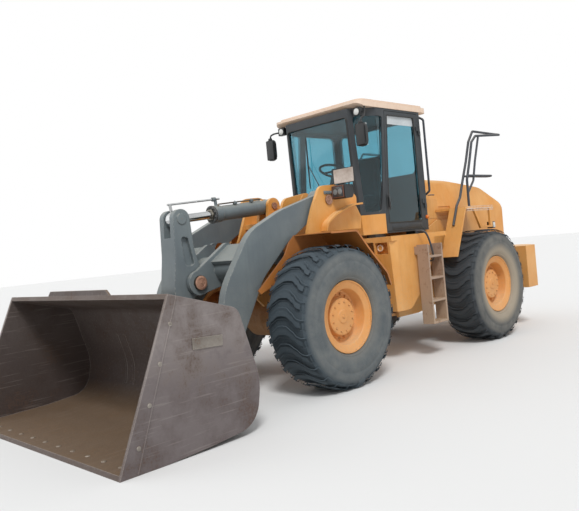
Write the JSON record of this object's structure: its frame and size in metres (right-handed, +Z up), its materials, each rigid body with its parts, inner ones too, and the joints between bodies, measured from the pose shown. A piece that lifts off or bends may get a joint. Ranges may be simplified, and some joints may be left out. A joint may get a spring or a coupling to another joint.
{
  "type": "wheel loader",
  "caption": "Articulated wheel loader with a bucket on lift arms and a bell-crank tilt linkage, a glazed cab, a closed hood with a rear counterweight, and big lugged tyres.",
  "frame": {"origin": "on the ground, under the middle of the machine's overall length and width", "axes": "+Z up; the machine faces -Y, its left side is +X; bucket flat on the ground, frame straight"},
  "size_m": [3, 8, 3.2883],
  "materials": {
    "body_paint": "sun-bleached orange-yellow enamel, dusty",
    "rim_paint": "orange-yellow enamel, dusty",
    "tyre": "dusty dark grey rubber",
    "arm_paint": "dark grey enamel, scuffed",
    "bucket_steel": "bare worn steel with rust",
    "pin_steel": "greasy pin steel",
    "rod_chrome": "polished rod",
    "cab_dark": "dark grey enamel",
    "roof_paint": "faded cream enamel",
    "window_glass": "green-tinted glass",
    "seat_cloth": "woven cloth",
    "dark_plastic": "dark moulded plastic",
    "mount_rubber": "black rubber",
    "ladder_paint": "worn grey enamel",
    "rail_paint": "dark enamel",
    "engine_iron": "plain block"
  },
  "bodies": {
    "rear_body": {"rear_frame": "body_paint", "engine_block": "engine_iron", "hood": "body_paint", "radiator_grille": "cab_dark", "counterweight": "body_paint", "rear_axle": "body_paint", "rear_fender_left": "body_paint", "rear_fender_right": "body_paint", "ladder": "ladder_paint", "tank_left": "body_paint", "tank_right": "body_paint", "guard_rails": "rail_paint", "grab_rail": "rail_paint", "cab_base": "body_paint", "cab_shell": "cab_dark", "cab_roof": "roof_paint", "cab_glass": "window_glass", "cab_console": "dark_plastic", "cab_mounts": "mount_rubber", "seat_base": "dark_plastic", "seat_cushions": "seat_cloth", "mirrors": "dark_plastic", "work_lamps": "dark_plastic", "hitch_pins": "pin_steel"},
    "front_body": {"front_frame": "body_paint", "arm_pins": "pin_steel", "tilt_pin": "pin_steel", "front_axle": "body_paint", "front_fender_left": "body_paint", "front_fender_right": "body_paint", "headlamps": "dark_plastic"},
    "wheel_front_left": {"tyre_front_left": "tyre", "rim_front_left": "rim_paint"},
    "wheel_front_right": {"tyre_front_right": "tyre", "rim_front_right": "rim_paint"},
    "wheel_rear_left": {"tyre_rear_left": "tyre", "rim_rear_left": "rim_paint"},
    "wheel_rear_right": {"tyre_rear_right": "tyre", "rim_rear_right": "rim_paint"},
    "door": {"door_frame": "cab_dark", "door_glass": "window_glass"},
    "arms": {"lift_arms": "arm_paint"},
    "bucket_pin": {"bucket_pins": "pin_steel"},
    "bucket": {"bucket": "bucket_steel"},
    "lever_pin": {"lever_pin": "pin_steel"},
    "lever": {"lever": "arm_paint"},
    "link": {"link": "arm_paint"},
    "tilt_barrel": {"tilt_barrel": "arm_paint"},
    "tilt_rod": {"tilt_rod": "rod_chrome"},
    "lift_barrel_left": {"lift_barrel_left": "arm_paint"},
    "lift_rod_left": {"lift_rod_left": "rod_chrome"},
    "lift_barrel_right": {"lift_barrel_right": "arm_paint"},
    "lift_rod_right": {"lift_rod_right": "rod_chrome"},
    "steer_barrel_left": {"steer_barrel_left": "arm_paint"},
    "steer_rod_left": {"steer_rod_left": "rod_chrome"},
    "steer_barrel_right": {"steer_barrel_right": "arm_paint"},
    "steer_rod_right": {"steer_rod_right": "rod_chrome"}
  },
  "joints": [
    {"name": "articulation", "type": "hinge", "parent": "rear_body", "child": "front_body", "pos_m": [0, 0.53, 0.85], "axis": [0, 0, 1], "range_deg": [-37, 37]},
    {"name": "wheel_front_left", "type": "hinge", "parent": "front_body", "child": "wheel_front_left", "pos_m": [1.035, -1.07, 0.765], "axis": [1, 0, 0], "continuous": true},
    {"name": "wheel_front_right", "type": "hinge", "parent": "front_body", "child": "wheel_front_right", "pos_m": [-1.035, -1.07, 0.765], "axis": [1, 0, 0], "continuous": true},
    {"name": "wheel_rear_left", "type": "hinge", "parent": "rear_body", "child": "wheel_rear_left", "pos_m": [1.035, 2.13, 0.765], "axis": [1, 0, 0], "continuous": true},
    {"name": "wheel_rear_right", "type": "hinge", "parent": "rear_body", "child": "wheel_rear_right", "pos_m": [-1.035, 2.13, 0.765], "axis": [1, 0, 0], "continuous": true},
    {"name": "door_hinge", "type": "hinge", "parent": "rear_body", "child": "door", "pos_m": [0.761, 1.292, 2.4], "axis": [0, 0, 1], "range_deg": [0, 90]},
    {"name": "lift", "type": "hinge", "parent": "front_body", "child": "arms", "pos_m": [0, -0.58, 2.05], "axis": [-1, 0, 0], "range_deg": [0, 83]},
    {"name": "bucket_pin_turn", "type": "hinge", "parent": "arms", "child": "bucket_pin", "pos_m": [0, -2.465, 0.375], "axis": [1, 0, 0], "range_deg": [0, 83.02]},
    {"name": "tilt", "type": "hinge", "parent": "bucket_pin", "child": "bucket", "pos_m": [0, -2.465, 0.375], "axis": [1, 0, 0], "range_deg": [-24, 45]},
    {"name": "lever_pin_turn", "type": "hinge", "parent": "arms", "child": "lever_pin", "pos_m": [0, -2.15, 1.265], "axis": [-1, 0, 0], "range_deg": [0, 21.89]},
    {"name": "lever_turn", "type": "hinge", "parent": "lever_pin", "child": "lever", "pos_m": [0, -2.15, 1.265], "axis": [-1, 0, 0], "range_deg": [-2.42, 4.52]},
    {"name": "link_turn", "type": "hinge", "parent": "bucket", "child": "link", "pos_m": [0, -2.535, 0.58], "axis": [-1, 0, 0], "range_deg": [-11.59, 21.71]},
    {"name": "tilt_barrel_turn", "type": "hinge", "parent": "front_body", "child": "tilt_barrel", "pos_m": [0, -0.89, 2.053], "axis": [-1, 0, 0], "range_deg": [0, 95.69]},
    {"name": "tilt_rod_slide", "type": "slide", "parent": "tilt_barrel", "child": "tilt_rod", "axis": [0, -0.9972, -0.075], "range_m": [-0.0478, 0.0257]},
    {"name": "lift_barrel_turn_left", "type": "hinge", "parent": "front_body", "child": "lift_barrel_left", "pos_m": [0.44, -0.47, 0.7], "axis": [-1, 0, 0], "range_deg": [0, 27.59]},
    {"name": "lift_rod_slide_left", "type": "slide", "parent": "lift_barrel_left", "child": "lift_rod_left", "axis": [0, -0.7071, 0.7071], "range_m": [0, 0.9071]},
    {"name": "lift_barrel_turn_right", "type": "hinge", "parent": "front_body", "child": "lift_barrel_right", "pos_m": [-0.44, -0.47, 0.7], "axis": [-1, 0, 0], "range_deg": [0, 27.59]},
    {"name": "lift_rod_slide_right", "type": "slide", "parent": "lift_barrel_right", "child": "lift_rod_right", "axis": [0, -0.7071, 0.7071], "range_m": [0, 0.9071]},
    {"name": "steer_barrel_turn_left", "type": "hinge", "parent": "rear_body", "child": "steer_barrel_left", "pos_m": [0.42, 1.38, 0.8], "axis": [0, 0, 1], "range_deg": [-6.32, 6.32]},
    {"name": "steer_rod_slide_left", "type": "slide", "parent": "steer_barrel_left", "child": "steer_rod_left", "axis": [-0.0854, -0.9963, 0], "range_m": [-0.215, 0.215]},
    {"name": "steer_barrel_turn_right", "type": "hinge", "parent": "rear_body", "child": "steer_barrel_right", "pos_m": [-0.42, 1.38, 0.8], "axis": [0, 0, 1], "range_deg": [-6.32, 6.32]},
    {"name": "steer_rod_slide_right", "type": "slide", "parent": "steer_barrel_right", "child": "steer_rod_right", "axis": [0.0854, -0.9963, 0], "range_m": [-0.215, 0.215]}
  ],
  "couplings": [
    {"joint": "bucket_pin_turn", "follows": "lift", "ratio": 1},
    {"joint": "lever_pin_turn", "follows": "lift", "ratio": 0.26355},
    {"joint": "lever_turn", "follows": "tilt", "ratio": 0.1},
    {"joint": "link_turn", "follows": "tilt", "ratio": 0.482},
    {"joint": "tilt_barrel_turn", "follows": "lift", "ratio": 1.1526},
    {"joint": "tilt_rod_slide", "follows": "tilt", "m_per_rad": -0.060164},
    {"joint": "lift_barrel_turn_left", "follows": "lift", "ratio": 0.33213},
    {"joint": "lift_rod_slide_left", "follows": "lift", "m_per_rad": 0.62582},
    {"joint": "lift_barrel_turn_right", "follows": "lift", "ratio": 0.33213},
    {"joint": "lift_rod_slide_right", "follows": "lift", "m_per_rad": 0.62582},
    {"joint": "steer_barrel_turn_left", "follows": "articulation", "ratio": 0.17016},
    {"joint": "steer_rod_slide_left", "follows": "articulation", "m_per_rad": -0.33221},
    {"joint": "steer_barrel_turn_right", "follows": "articulation", "ratio": 0.17016},
    {"joint": "steer_rod_slide_right", "follows": "articulation", "m_per_rad": 0.33221}
  ]
}
